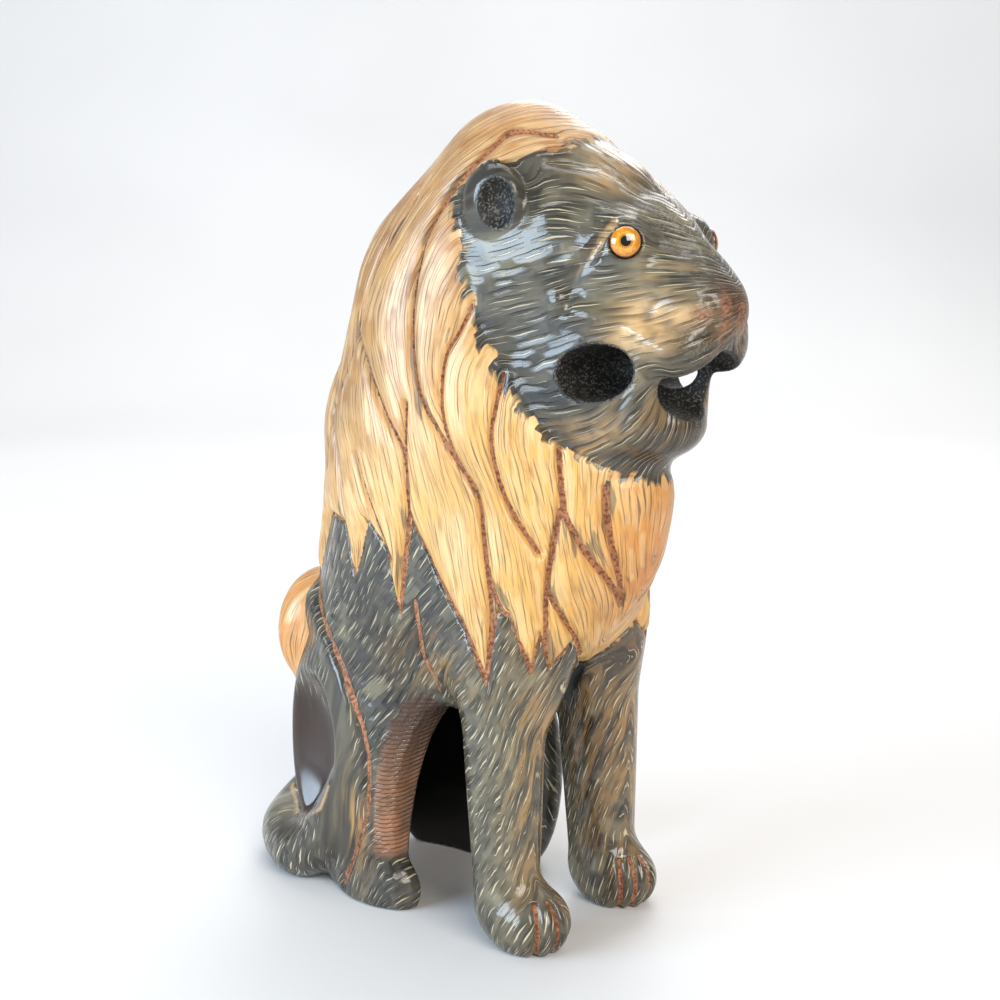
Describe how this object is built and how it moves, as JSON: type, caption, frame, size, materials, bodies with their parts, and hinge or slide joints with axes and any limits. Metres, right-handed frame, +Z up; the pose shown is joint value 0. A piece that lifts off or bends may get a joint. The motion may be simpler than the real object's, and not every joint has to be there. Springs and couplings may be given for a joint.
{
  "type": "carved lion figurine",
  "caption": "Seated lion figurine carved in polished horn, with a furrowed mane, an open mouth, inset glass eyes and a hollow under the belly.",
  "frame": {"origin": "centre of the footprint of the bounding box, on the plane of the soles", "axes": "+Z up, the lion looks along -Y, its left side is +X"},
  "size_m": [0.0564, 0.1326, 0.1858],
  "materials": {
    "horn": "polished horn, cream mane over dark grey body",
    "amber_glass": "glossy amber glass with a black pupil"
  },
  "bodies": {
    "root": {"lion_body": "horn", "right_eye": "amber_glass", "left_eye": "amber_glass"}
  },
  "joints": []
}
